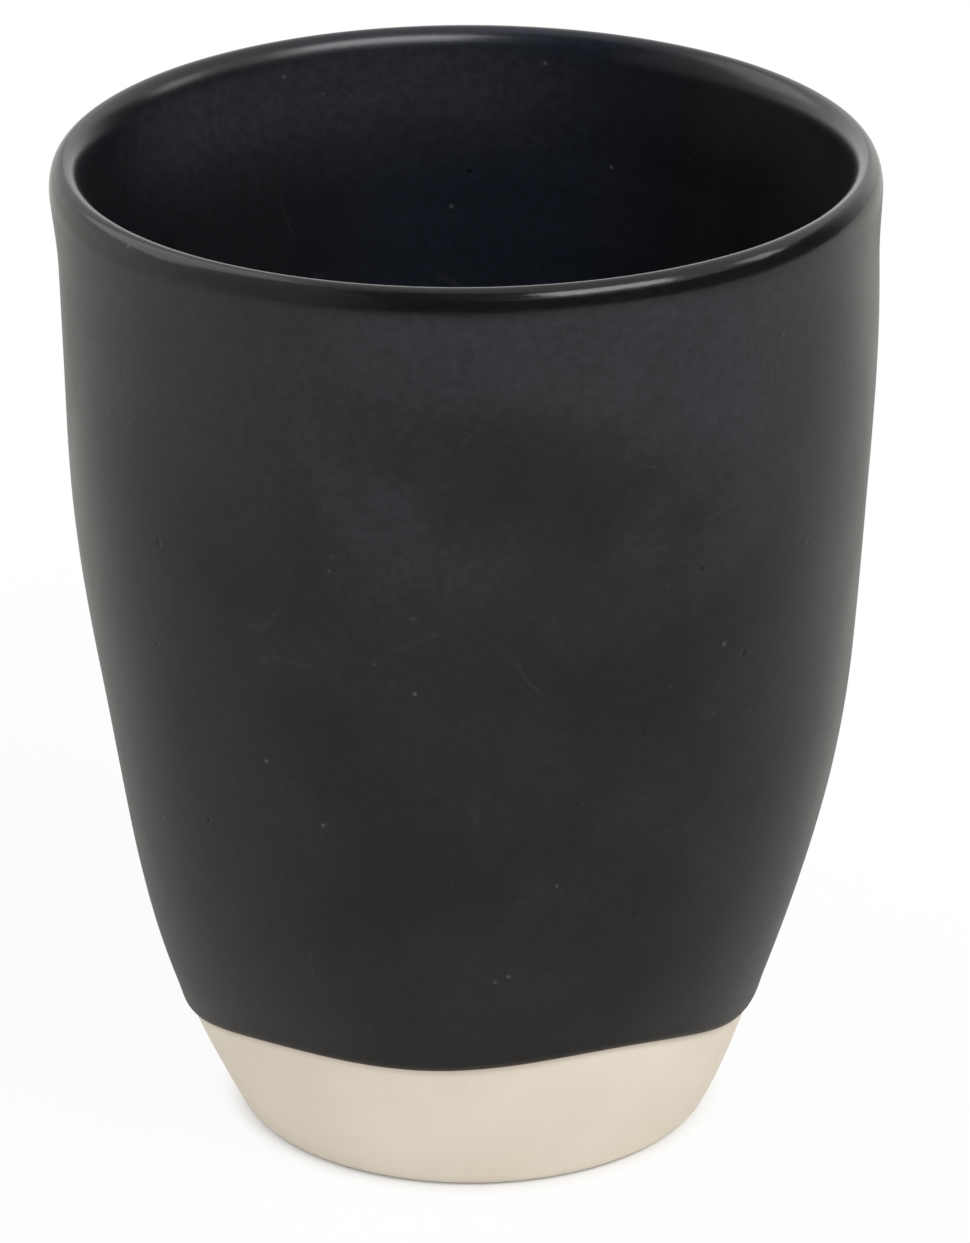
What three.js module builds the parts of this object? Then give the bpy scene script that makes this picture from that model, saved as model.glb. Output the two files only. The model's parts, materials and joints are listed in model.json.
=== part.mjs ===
// A hand-thrown stoneware mug without a handle, in millimetres, +Z up, standing on z = 0.
// The pieces are the fired clay, the dark coat of glaze on its outside, which stops above the bare
// foot, and the liner coat of glaze inside. The two coats meet on the crest of the rim.

import * as THREE from "three";
import { toCreasedNormals } from "three/addons/utils/BufferGeometryUtils.js";

// Overall sizes, over the glaze
const HEIGHT = 102;
const RIM_DIAMETER = 81.6; // of the true form, before the lip is turned out
const RIM_THICKNESS = 3.4;
const RIM_ROUND = 3.2; // how far down the rim's round reaches, outside and inside
const CREST_PLACE = 0.46; // share of the clay at the rim that lies outside its crest

// The foot, which is bare clay
const FOOT_RADIUS = 24.5; // where the rounded edge of the foot runs into the wall
const FOOT_EDGE_RADIUS = 1.8;
const FOOT_RING_WIDTH = 4.5; // the flat ring that the mug stands on
const RECESS_DEPTH = 1.2; // the turned hollow inside the ring
const RECESS_BEVEL = 1;

// The curve of the outside, from the foot to the rim
const WALL_FLARE = THREE.MathUtils.degToRad(27); // how far the wall leans out where it leaves the foot
const PULL_AT_FOOT = 0.193; // share of the height over which the wall keeps that lean
const PULL_AT_RIM = 0.56; // share of the height over which the wall comes upright

// The inside
const WALL_AT_FOOT = 4.2; // clay only
const FLOOR_THICKNESS = 4.6; // clay only, above the recess
const INNER_CORNER_RADIUS = 10;

// The glaze
const OUTSIDE_GLAZE = 0.4;
const LINER_GLAZE = 0.4;
const GLAZE_LIP = 0.6; // length over which the outside coat rounds down to the clay
const GLAZE_LINE = 15.1; // mean height of that edge, which sways round the foot
const LINE_SWAY = 2.2;
const LINE_SWAY_AT = THREE.MathUtils.degToRad(-84);
const LINE_RIPPLE = 0.75;
const LINE_RIPPLE_AT = THREE.MathUtils.degToRad(-61.5);
const LINE_RIPPLES = 5;

// What the hand left. The foot is true, and the departures have grown in at this height
const TRUE_FOOT_HEIGHT = 12;
const LOBE_AT_FOOT = -0.76; // a faint three-cornered swelling, which turns on its way up
const LOBE_AT_RIM = 1.06;
const LOBES = 3;
const LOBE_TWIST = THREE.MathUtils.degToRad(-69);
const THROWING_RIDGE = 0.26; // one shallow ridge that climbs round the wall
const RIDGE_PITCH = 47;
const RIDGE_START = 40.5;
const LIP_FLARE = 0.6; // how far the lip is turned out, and the height over which that grows in
const LIP_FLARE_HEIGHT = 10;
const RIM_WAVE = 0.85; // the rim rises and falls twice round the mug
const RIM_WAVE_AT = THREE.MathUtils.degToRad(117);
const LEAN = 0.75; // how far the rim's centre stands towards +X of the foot's

// Facets
const SEGMENTS = 60;
const EDGE_STEPS = 3;
const FOOT_STEPS = 3;
const WALL_STEPS = 12;
const RIM_STEPS = 4;
const INSIDE_STEPS = 9;
const CORNER_STEPS = 4;
const LIP_STEPS = 3;
const CREASE = THREE.MathUtils.degToRad(35); // a sharper edge than this is shaded as an edge

const RIM_RADIUS = RIM_DIAMETER / 2;
const CLAY_RIM_RADIUS = RIM_RADIUS - OUTSIDE_GLAZE;
const CLAY_AT_RIM = RIM_THICKNESS - OUTSIDE_GLAZE - LINER_GLAZE;
const WALL_TOP_Z = HEIGHT - RIM_ROUND;
const FLOOR_Z = RECESS_DEPTH + FLOOR_THICKNESS;
const FOOT_FLAT_RADIUS = FOOT_RADIUS - FOOT_EDGE_RADIUS * Math.cos(WALL_FLARE);
const RING_INNER_RADIUS = FOOT_FLAT_RADIUS - FOOT_RING_WIDTH;

// A profile's points are (radius, height).
const at = (radius, height) => new THREE.Vector2(radius, height);

// The outside of the clay between the foot's rounded edge (0) and the start of the rim's round (1)
const clayWall = (() => {
  const start = at(FOOT_RADIUS, FOOT_EDGE_RADIUS * (1 - Math.sin(WALL_FLARE)));
  const end = at(CLAY_RIM_RADIUS, WALL_TOP_Z);
  const rise = end.y - start.y;
  const low = at(Math.sin(WALL_FLARE), Math.cos(WALL_FLARE)).multiplyScalar(PULL_AT_FOOT * rise).add(start);
  const high = at(end.x, end.y - PULL_AT_RIM * rise);
  return new THREE.CubicBezierCurve(start, low, high, end);
})();

// The direction out of the wall at a share of its way up
function outward(share) {
  const along = clayWall.getTangent(share);
  return at(along.y, -along.x);
}

// A point that stands off the clay's outside, negative values lying inside it
function offWall(share, distance) {
  return clayWall.getPoint(share).addScaledVector(outward(share), distance);
}

// Clay thickness at a share of the wall's way up
const clayAt = (share) => THREE.MathUtils.lerp(WALL_AT_FOOT, CLAY_AT_RIM, share);

// The share from 0 to 1 at which a rising measure reaches a value
function shareWhere(measure, value) {
  let low = 0;
  let high = 1;
  for (let halving = 0; halving < 40; halving += 1) {
    const middle = (low + high) / 2;
    if (measure(middle) < value) low = middle;
    else high = middle;
  }
  return (low + high) / 2;
}

function glazeLineHeight(angle) {
  const sway = LINE_SWAY * Math.cos(2 * (angle - LINE_SWAY_AT));
  const ripple = LINE_RIPPLE * Math.cos(LINE_RIPPLES * (angle - LINE_RIPPLE_AT));
  return GLAZE_LINE + sway + ripple;
}

const glazeLineShare = (angle) => shareWhere((share) => clayWall.getPoint(share).y, glazeLineHeight(angle));

// Points at equal steps from one value to another, with both ends
function stepped(from, to, steps, pointAt) {
  return Array.from({ length: steps + 1 }, (_, step) => pointAt(THREE.MathUtils.lerp(from, to, step / steps)));
}

const arc = (centre, radius, from, to, steps) =>
  stepped(from, to, steps, (turn) => at(Math.cos(turn), Math.sin(turn)).multiplyScalar(radius).add(centre));

// The rim's round from one turn to another, 0 being the top of the outside, a quarter turn the crest
// and a half turn the top of the inside. Each side is a quarter of an ellipse.
function rim(coat, from, to) {
  const middle = at(CLAY_RIM_RADIUS - CREST_PLACE * CLAY_AT_RIM, WALL_TOP_Z);
  const rise = RIM_ROUND - OUTSIDE_GLAZE + coat;
  return stepped(from, to, RIM_STEPS, (turn) => {
    const side = turn < Math.PI / 2 ? CREST_PLACE : 1 - CREST_PLACE;
    return at(Math.cos(turn) * (side * CLAY_AT_RIM + coat), Math.sin(turn) * rise).add(middle);
  });
}

// The inside from the rim down to the axis, at a distance in from the clay's own inside.
// The wall runs into the floor round a corner that touches both.
function inside(coat) {
  const toCentre = (share) => offWall(share, -clayAt(share) - INNER_CORNER_RADIUS);
  const cornerShare = shareWhere((share) => toCentre(share).y, FLOOR_Z + INNER_CORNER_RADIUS);
  const wall = stepped(1, cornerShare, INSIDE_STEPS, (share) => offWall(share, -clayAt(share) - coat));
  const out = outward(cornerShare);
  const start = Math.atan2(out.y, out.x);
  const corner = arc(toCentre(cornerShare), INNER_CORNER_RADIUS - coat, start, -Math.PI / 2, CORNER_STEPS);
  const floorEdge = corner.at(-1);
  return [...wall, ...corner.slice(1), at(floorEdge.x / 2, floorEdge.y), at(0, floorEdge.y)];
}

function clayProfile(angle) {
  const line = glazeLineShare(angle);
  const edgeCentre = at(FOOT_FLAT_RADIUS, FOOT_EDGE_RADIUS);
  return [
    at(0, RECESS_DEPTH),
    at(RING_INNER_RADIUS - RECESS_BEVEL, RECESS_DEPTH),
    at(RING_INNER_RADIUS, 0),
    ...arc(edgeCentre, FOOT_EDGE_RADIUS, -Math.PI / 2, -WALL_FLARE, EDGE_STEPS),
    ...stepped(0, line, FOOT_STEPS, (share) => offWall(share, 0)).slice(1),
    ...stepped(line, 1, WALL_STEPS, (share) => offWall(share, 0)).slice(1),
    ...rim(0, 0, Math.PI / 2).slice(1),
    ...rim(0, Math.PI / 2, Math.PI).slice(1),
    ...inside(0).slice(1),
  ];
}

function outsideGlazeProfile(angle) {
  const line = glazeLineShare(angle);
  const edge = offWall(line, 0);
  const lip = stepped(0, Math.PI / 2, LIP_STEPS, (turn) =>
    edge
      .clone()
      .addScaledVector(clayWall.getTangent(line), GLAZE_LIP * (1 - Math.cos(turn)))
      .addScaledVector(outward(line), OUTSIDE_GLAZE * Math.sin(turn)),
  );
  return [
    ...lip,
    ...stepped(line, 1, WALL_STEPS, (share) => offWall(share, OUTSIDE_GLAZE)).slice(1),
    ...rim(OUTSIDE_GLAZE, 0, Math.PI / 2).slice(1),
    ...rim(0, Math.PI / 2, 0),
    ...stepped(1, line, WALL_STEPS, (share) => offWall(share, 0)).slice(1),
  ];
}

function linerGlazeProfile() {
  const onClay = [...rim(0, Math.PI / 2, Math.PI), ...inside(0).slice(1)];
  const free = [...rim(LINER_GLAZE, Math.PI / 2, Math.PI), ...inside(LINER_GLAZE).slice(1)];
  return [...onClay.reverse(), ...free];
}

// Moves a point of the true form to where the hand left it. The foot's flat and the axis stay.
function handmade(radius, angle, height) {
  const up = height / HEIGHT;
  const grown = THREE.MathUtils.smoothstep(height, 0, TRUE_FOOT_HEIGHT);
  const lobe = THREE.MathUtils.lerp(LOBE_AT_FOOT, LOBE_AT_RIM, up) * Math.cos(LOBES * (angle - LOBE_TWIST * up));
  const ridge = THROWING_RIDGE * Math.cos((2 * Math.PI * (height - RIDGE_START)) / RIDGE_PITCH - angle);
  const flare = LIP_FLARE * THREE.MathUtils.smoothstep(height, HEIGHT - LIP_FLARE_HEIGHT, HEIGHT);
  const moved = radius * (1 + (grown * (lobe + ridge) + flare) / RIM_RADIUS);
  const wave = RIM_WAVE * Math.cos(2 * (angle - RIM_WAVE_AT)) * (radius / RIM_RADIUS);
  const lifted = height + THREE.MathUtils.smoothstep(up, 0, 1) * wave;
  return new THREE.Vector3(moved * Math.cos(angle) + LEAN * up, moved * Math.sin(angle), lifted);
}

// Each four-sided facet is split along its shorter diagonal, so a coat and the clay under it,
// which share their points, have the same triangles and lie face to face.
function facets(places, rows) {
  const corner = (index) => new THREE.Vector3().fromBufferAttribute(places, index);
  const triangles = [];
  for (let segment = 0; segment < SEGMENTS; segment += 1) {
    for (let row = 0; row < rows - 1; row += 1) {
      const a = segment * rows + row;
      const b = a + rows;
      const c = b + 1;
      const d = a + 1;
      const throughA = corner(a).distanceToSquared(corner(c)) < corner(b).distanceToSquared(corner(d));
      triangles.push(...(throughA ? [a, b, c, a, c, d] : [a, b, d, b, c, d]));
    }
  }
  return triangles;
}

// Turns a profile that changes a little with the angle into a closed solid.
function thrown(name, profileAt, material) {
  const rows = profileAt(0).length;
  const geometry = new THREE.LatheGeometry(profileAt(0), SEGMENTS);
  const places = geometry.attributes.position;
  for (let segment = 0; segment <= SEGMENTS; segment += 1) {
    const angle = ((segment % SEGMENTS) * 2 * Math.PI) / SEGMENTS;
    profileAt(angle).forEach((point, row) => {
      places.setXYZ(segment * rows + row, ...handmade(point.x, angle, point.y));
    });
  }
  geometry.setIndex(facets(places, rows));
  const mesh = new THREE.Mesh(toCreasedNormals(geometry, CREASE), material);
  mesh.name = name;
  return mesh;
}

const bareClay = new THREE.MeshStandardMaterial({ color: 0xded5c6, roughness: 0.9, metalness: 0 });
const satinBlack = new THREE.MeshStandardMaterial({ color: 0x1c1b1d, roughness: 0.36, metalness: 0 });
const linerBlack = new THREE.MeshStandardMaterial({ color: 0x15171c, roughness: 0.5, metalness: 0 });

const mug = new THREE.Group();
mug.name = "stoneware_mug";
mug.add(
  thrown("clay_body", clayProfile, bareClay),
  thrown("outside_glaze", outsideGlazeProfile, satinBlack),
  thrown("liner_glaze", linerGlazeProfile, linerBlack),
);

export default mug;
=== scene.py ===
"""A hand-thrown stoneware mug without a handle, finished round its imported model.

The clay body and its two coats of glaze are turned by geometry nodes from one set of sizes, and a plain
pale studio is set round them. Everything is in metres in the model's own frame: +Z up, foot on z = 0.
"""

import json
import math
from typing import NamedTuple

import bpy
from mathutils import Matrix, Vector

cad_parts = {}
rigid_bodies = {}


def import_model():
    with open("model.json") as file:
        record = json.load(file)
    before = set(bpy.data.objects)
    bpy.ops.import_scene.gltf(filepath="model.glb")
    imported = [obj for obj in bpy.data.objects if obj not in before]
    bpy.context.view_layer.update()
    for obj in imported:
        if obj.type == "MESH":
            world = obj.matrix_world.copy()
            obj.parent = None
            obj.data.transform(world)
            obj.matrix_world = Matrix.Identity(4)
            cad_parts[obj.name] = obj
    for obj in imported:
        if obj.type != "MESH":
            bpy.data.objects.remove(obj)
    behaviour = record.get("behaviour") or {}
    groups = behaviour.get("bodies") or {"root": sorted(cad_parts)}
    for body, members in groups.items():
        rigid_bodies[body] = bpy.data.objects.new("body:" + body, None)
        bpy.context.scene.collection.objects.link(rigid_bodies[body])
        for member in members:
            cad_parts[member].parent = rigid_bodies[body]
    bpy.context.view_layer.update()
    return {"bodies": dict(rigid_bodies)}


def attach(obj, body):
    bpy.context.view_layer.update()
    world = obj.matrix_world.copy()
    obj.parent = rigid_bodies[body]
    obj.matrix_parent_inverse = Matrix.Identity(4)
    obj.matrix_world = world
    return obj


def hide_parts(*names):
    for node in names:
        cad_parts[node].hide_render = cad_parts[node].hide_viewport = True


bl_info = {
    "name": "Stoneware Mug",
    "version": (1, 0, 0),
    "blender": (4, 5, 0),
    "location": "View3D > Sidebar > Mug",
    "description": "Turns a handleless stoneware mug, glazes it and sets a pale studio round it",
    "category": "Add Mesh",
}

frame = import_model()
BODY = next(iter(frame["bodies"]))

FULL_TURN = 2 * math.pi
QUARTER_TURN = math.pi / 2
MERGE_DISTANCE = 1e-6
SEAM_ANGLE = math.radians(35)
SOLVER_STEPS = 6
DENT_DETAIL = 2.0
NEAREST_SEEN = 0.01
WHITE = (1.0, 1.0, 1.0, 1.0)

# The colour sockets of a Mix node, by number
MIX_COLOURS = (6, 7)
MIX_COLOUR_OUT = 2


# Properties

def length(name, description, default):
    """A size in metres."""
    return bpy.props.FloatProperty(
        name=name, description=description, default=default, unit="LENGTH", subtype="DISTANCE", precision=5
    )


def angle(name, description, degrees):
    """An angle, given in degrees and kept in radians."""
    return bpy.props.FloatProperty(
        name=name, description=description, default=math.radians(degrees), unit="ROTATION", subtype="ANGLE"
    )


def share(name, description, default):
    """A part of a whole, from 0 to 1."""
    return bpy.props.FloatProperty(
        name=name, description=description, default=default, min=0.0, max=1.0, subtype="FACTOR"
    )


def number(name, description, default):
    """A plain number."""
    return bpy.props.FloatProperty(name=name, description=description, default=default, precision=3)


def count(name, description, default):
    """A whole number."""
    return bpy.props.IntProperty(name=name, description=description, default=default, min=1)


def colour(name, description, default):
    """A linear colour."""
    return bpy.props.FloatVectorProperty(
        name=name, description=description, default=default, size=3, min=0.0, max=1.0, subtype="COLOR"
    )


class MugForm(bpy.types.PropertyGroup):
    """The true form that the wheel gives the mug."""

    height: length("Height", "From the foot to the crest of the rim, over the glaze", 0.102)
    rim_diameter: length("Rim Diameter", "Across the rim, over the glaze, before the lip turns out", 0.0816)
    rim_thickness: length("Rim Thickness", "Through the rim, over both coats of glaze", 0.0034)
    rim_round: length("Rim Round", "How far down the rim's round reaches, outside and inside", 0.0032)
    crest_place: share("Crest Place", "Share of the clay at the rim that lies outside the crest", 0.46)
    foot_radius: length("Foot Radius", "Where the foot's rounded edge runs into the wall", 0.0245)
    foot_edge_radius: length("Foot Edge Radius", "Round of the foot's outer edge", 0.0018)
    foot_ring_width: length("Foot Ring Width", "The flat ring that the mug stands on", 0.0045)
    recess_depth: length("Recess Depth", "The turned hollow inside the foot ring", 0.0012)
    recess_bevel: length("Recess Bevel", "Width of the slope between the ring and the hollow", 0.001)
    wall_flare: angle("Wall Flare", "How far the wall leans out where it leaves the foot", 27)
    pull_at_foot: share("Pull at Foot", "Share of the height over which the wall keeps that lean", 0.193)
    pull_at_rim: share("Pull at Rim", "Share of the height over which the wall comes upright", 0.56)
    wall_at_foot: length("Wall at Foot", "Thickness of the clay wall beside the floor", 0.0042)
    floor_thickness: length("Floor Thickness", "Thickness of the clay above the hollow", 0.0046)
    inner_corner_radius: length("Inner Corner Radius", "Round between the inside and the floor", 0.010)


class GlazeCoats(bpy.types.PropertyGroup):
    """The two coats of glaze, and the wavy edge at which the outside one stops."""

    outside_glaze: length("Outside Glaze", "Thickness of the outside coat", 0.0004)
    liner_glaze: length("Liner Glaze", "Thickness of the coat inside", 0.0004)
    coat_bite: length("Coat Bite", "How far a coat has soaked into the clay under it", 0.00005)
    glaze_lip: length("Glaze Lip", "Length over which the outside coat rounds down to the clay", 0.0006)
    edge_roll: length("Edge Roll", "Extra thickness where the glaze gathers along its edge", 0.00008)
    edge_roll_height: length("Edge Roll Height", "How far up that extra thickness reaches", 0.0022)
    glaze_line: length("Glaze Line", "Mean height of the outside coat's edge", 0.0151)
    line_sway: length("Line Sway", "The edge's slow rise and fall, twice round the mug", 0.0022)
    line_sway_at: angle("Line Sway At", "Direction in which that rise is highest", -84)
    line_ripple: length("Line Ripple", "The edge's quicker rise and fall", 0.00075)
    line_ripple_at: angle("Line Ripple At", "Direction in which one ripple is highest", -61.5)
    line_ripples: count("Line Ripples", "Ripples round the mug", 5)


class HandMarks(bpy.types.PropertyGroup):
    """What the potter's hand left on the true form."""

    true_foot_height: length("True Foot Height", "Below this the departures die out", 0.012)
    lobe_at_foot: length("Lobe at Foot", "Swelling of the section at the foot", -0.00076)
    lobe_at_rim: length("Lobe at Rim", "Swelling of the section at the rim", 0.00106)
    lobes: count("Lobes", "Corners of that swelling", 3)
    lobe_twist: angle("Lobe Twist", "How far the swelling turns on its way up", -69)
    throwing_ridge: length("Throwing Ridge", "The shallow ridge that climbs round the wall", 0.00026)
    ridge_pitch: length("Ridge Pitch", "How far the ridge climbs in one turn", 0.047)
    ridge_start: length("Ridge Start", "Height of the ridge at +X", 0.0405)
    lip_flare: length("Lip Flare", "How far the lip is turned out", 0.0006)
    lip_flare_height: length("Lip Flare Height", "Height over which that grows in", 0.010)
    rim_wave: length("Rim Wave", "How far the rim rises and falls, twice round the mug", 0.00085)
    rim_wave_at: angle("Rim Wave At", "Direction in which the rim is highest", 117)
    lean: length("Lean", "How far the rim's centre stands towards +X of the foot's", 0.00075)
    dents: length("Dents", "Depth of the soft dents that the fingers left", 0.00011)
    dent_size: length("Dent Size", "Distance from one soft dent to the next", 0.024)
    inner_rings: length("Inner Rings", "Height of the throwing rings inside", 0.000015)
    inner_ring_pitch: length("Inner Ring Pitch", "Distance from one throwing ring to the next", 0.0065)
    floor_spiral: length("Floor Spiral", "Height of the spiral left on the floor", 0.00014)
    floor_spiral_pitch: length("Floor Spiral Pitch", "Distance between the spiral's turns", 0.0052)
    turning_lines: length("Turning Lines", "Depth of the tool's lines on the bare foot", 0.000012)
    turning_line_pitch: length("Turning Line Pitch", "Distance between the tool's lines", 0.0011)


class MeshSteps(bpy.types.PropertyGroup):
    """How finely each stretch of the surface is divided."""

    segments: count("Segments", "Divisions round the mug", 288)
    wall_steps: count("Wall Steps", "Rows up a wall that shows", 140)
    foot_steps: count("Foot Steps", "Rows up the bare foot", 56)
    rim_steps: count("Rim Steps", "Rows over one side of the rim", 18)
    corner_steps: count("Corner Steps", "Rows round a small corner", 10)
    floor_steps: count("Floor Steps", "Rows over a floor that shows", 50)
    hidden_steps: count("Hidden Steps", "Rows along a wall that is covered", 36)


class MugColours(bpy.types.PropertyGroup):
    """The colours of the bare clay and the two glazes."""

    clay: colour("Clay", "Fired stoneware without glaze", (0.74, 0.675, 0.575))
    clay_shade: colour("Clay Shade", "Where the clay took a little more fire", (0.66, 0.585, 0.475))
    clay_speck: colour("Clay Speck", "Iron specks in the clay", (0.40, 0.32, 0.24))
    outside_black: colour("Outside Black", "The outside glaze", (0.0062, 0.0060, 0.0060))
    outside_cloud: colour("Outside Cloud", "Where the outside glaze lies thinner", (0.0140, 0.0134, 0.0138))
    # A lighter tone over the upper wall, which turns violet on the side towards the camera
    outside_bloom: colour("Outside Lightening", "The faint bloom over its upper part", (0.0158, 0.0155, 0.0156))
    outside_violet: colour("Outside Violet", "Where that bloom turns violet", (0.0262, 0.0215, 0.0320))
    # Random dark mottle in the glaze, and painted shade at the bottom of its pinholes
    deep: colour("Deep", "The bottom of the glaze's pinholes and hollows", (0.0010, 0.0010, 0.0010))
    thin_edge: colour("Thin Edge", "Where the outside glaze breaks to brown", (0.050, 0.036, 0.026))
    pale_speck: colour("Pale Speck", "Small pale specks in the glaze", (0.16, 0.15, 0.14))
    scuff: colour("Scuff", "Faint marks of use on the glaze", (0.045, 0.042, 0.040))
    liner_black: colour("Liner Black", "The glaze inside", (0.0060, 0.0056, 0.0086))
    liner_cloud: colour("Liner Cloud", "Where the inner glaze lies thinner", (0.0086, 0.0084, 0.0122))
    # Painted light: a lighter tone on the inside wall below the rim at the back left, where the front-right
    # light falls
    liner_bloom: colour("Liner Painted Light", "The thin glaze below the rim at the back", (0.0230, 0.0245, 0.0300))
    liner_run: colour("Liner Run", "Where the liner ran together and shows blue", (0.0072, 0.0106, 0.0190))


class Studio(bpy.types.PropertyGroup):
    """The camera, the pale floor and the soft lights."""

    camera_distance: length("Camera Distance", "From the middle of the rim to the camera", 0.70)
    camera_rise: angle("Camera Rise", "How far the camera stands above the rim", 18.929)
    aim_side: length("Aim Side", "X of the point on the axis of view", 0.001415)
    aim_height: length("Aim Height", "Z of the point on the axis of view", 0.051872)
    camera_roll: angle("Camera Roll", "Turn of the camera about its axis of view", -0.3066)
    lens: number("Lens", "Focal length in millimetres", 204.77)
    floor_width: length("Floor Width", "Side of the floor", 6.0)
    floor_colour: colour("Floor Colour", "The pale floor", (0.90, 0.90, 0.90))
    floor_glow: share("Floor Glow", "How far the floor shows as plain white", 0.88)
    contact_reach: length("Contact Reach", "Distance from the axis at which the floor glows in full", 0.0265)
    table_reach: length("Table Reach", "How far off reflections still show the floor", 1.3)
    table_colour: colour("Table Colour", "The floor's warm tone in reflections", (1.0, 0.955, 0.885))
    dark_side: angle("Dark Side", "Direction of the dark horizon, from the camera's side towards +X", 47)
    ambient: number("Ambient", "Strength of the light from all round", 0.79)


class Patch(NamedTuple):
    """A round patch of painted shade on the floor, which only reflections show."""

    middle: tuple
    reach: float
    darkest: float


class SoftLight(NamedTuple):
    """A soft light that looks at the middle of the mug."""

    name: str
    place: tuple
    width: float
    height: float
    power: float


SOFT_LIGHTS = (
    SoftLight("left light", (-0.85, 0.35, 0.85), 0.8, 0.8, 2.5),
    SoftLight("right light", (0.55, -0.72, 0.95), 0.85, 0.42, 7.2),
    SoftLight("window light", (0.90, 0.12, 0.62), 0.25, 0.25, 0.6),
)

# How reflections show the floor and the room; the patches are painted shade on the floor. Fades run from
# none to full.
TABLE_MIDDLE = (0.35, 0.25, 0.0)
TABLE_GLOW = 0.75
BEFORE_THE_MUG = Patch((-0.03, -0.12, 0.0), 0.25, 0.46)
RIGHT_OF_THE_MUG = Patch((0.30, -0.05, 0.0), 0.29, 0.58)
LEFT_OF_THE_MUG = Patch((-0.34, 0.0, 0.0), 0.26, 0.85)
UNDER_THE_CAMERA = Patch((-0.22, -0.72, 0.0), 0.56, 0.10)
TOWARDS_THE_CAMERA = (-0.24, -0.66, 0.71)
CAMERA_FADES = (0.86, 0.95)
CAMERA_DARKENS = 0.8
HORIZON_HEIGHTS = (0.47, 0.40)
HORIZON_FADES = (-0.35, 0.35)
HORIZON_DARKENS = 0.94
LEFT_FADES = (-0.05, -0.40)
LEFT_BACK_FADES = (0.42, -0.50)
LEFT_DARKENS = 0.5
CONTACT_SHARPNESS = 0.85
NEAR_FLOOR_MIRRORED = 0.7
FLOOR_ROUGHNESS = 0.9
FLOOR_IOR = 1.2

SIZE_GROUPS = (MugForm, GlazeCoats, HandMarks, MeshSteps)
SETTINGS = {
    "mug_form": MugForm,
    "mug_glaze": GlazeCoats,
    "mug_hand": HandMarks,
    "mug_mesh": MeshSteps,
    "mug_colours": MugColours,
    "mug_studio": Studio,
}
SOCKET_KINDS = {"FLOAT": "NodeSocketFloat", "INT": "NodeSocketInt"}
SOCKET_UNITS = ("DISTANCE", "ANGLE", "FACTOR")


def sizes_of(scene):
    """Every size that a node tree may ask for, by the name that a user sees."""
    return {
        prop.name: getattr(getattr(scene, key), prop.identifier)
        for key, group in SETTINGS.items()
        if group in SIZE_GROUPS
        for prop in group.bl_rna.properties
        if prop.type in SOCKET_KINDS
    }


def size_named(name):
    """The property of the size that a user sees under this name."""
    for group in SIZE_GROUPS:
        for prop in group.bl_rna.properties:
            if prop.name == name:
                return prop
    raise KeyError(f"no size is named {name}")


# Arithmetic on node sockets

class Field:
    """A number that changes over a surface: a node's output, with the arithmetic of a number."""

    def __init__(self, socket):
        self.socket = socket

    def __add__(self, other):
        return maths("ADD", self, other)

    def __radd__(self, other):
        return maths("ADD", other, self)

    def __sub__(self, other):
        return maths("SUBTRACT", self, other)

    def __rsub__(self, other):
        return maths("SUBTRACT", other, self)

    def __mul__(self, other):
        return maths("MULTIPLY", self, other)

    def __rmul__(self, other):
        return maths("MULTIPLY", other, self)

    def __truediv__(self, other):
        return maths("DIVIDE", self, other)

    def __rtruediv__(self, other):
        return maths("DIVIDE", other, self)

    def __neg__(self):
        return maths("MULTIPLY", self, -1.0)


def plug(value, socket):
    """Feeds a socket from a field, from another socket or with a plain value."""
    if isinstance(value, Field):
        value = value.socket
    if isinstance(value, bpy.types.NodeSocket):
        socket.id_data.links.new(value, socket)
    else:
        socket.default_value = value


def add_node(tree, kind, inputs=None, **settings):
    """A new node, its settings made before its inputs, which go by name or number."""
    node = tree.nodes.new(kind)
    for name, value in settings.items():
        setattr(node, name, value)
    for name, value in (inputs or {}).items():
        plug(value, node.inputs[name])
    return node


def tree_of(values):
    """The tree that the first field among these values is in."""
    return next(value for value in values if isinstance(value, Field)).socket.id_data


def maths(operation, *values):
    """One Math node."""
    inputs = dict(enumerate(values))
    return Field(add_node(tree_of(values), "ShaderNodeMath", inputs, operation=operation).outputs[0])


def cos(value):
    return maths("COSINE", value) if isinstance(value, Field) else math.cos(value)


def sin(value):
    return maths("SINE", value) if isinstance(value, Field) else math.sin(value)


def root(value):
    return maths("SQRT", value)


def between(low, high, part):
    """The value at a part of the way from low to high."""
    return low + (high - low) * part


def smooth(value, low, high):
    """Rises smoothly from 0 where the value is low to 1 where it is high."""
    inputs = {"Value": value, "From Min": low, "From Max": high}
    node = add_node(
        tree_of((value, low, high)), "ShaderNodeMapRange", inputs, interpolation_type="SMOOTHSTEP"
    )
    return Field(node.outputs["Result"])


def within(part, start, end):
    """1 between two parts of a strip, dying out smoothly towards its ends."""
    return smooth(part, 0.0, start) * smooth(part, 1.0, end)


def vector(x, y, z):
    """A vector from three numbers or fields."""
    node = add_node(tree_of((x, y, z)), "ShaderNodeCombineXYZ", {0: x, 1: y, 2: z})
    return node.outputs[0]


class Spot:
    """A point or a direction in the mug's section: a radius and a height."""

    def __init__(self, radius, height):
        self.radius = radius
        self.height = height

    def __add__(self, other):
        return Spot(self.radius + other.radius, self.height + other.height)

    def __sub__(self, other):
        return Spot(self.radius - other.radius, self.height - other.height)

    def __mul__(self, factor):
        return Spot(self.radius * factor, self.height * factor)


def direction(turn):
    """The direction in the section at a turn from straight out, towards straight up."""
    return Spot(cos(turn), sin(turn))


# Node trees while they are written

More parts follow.
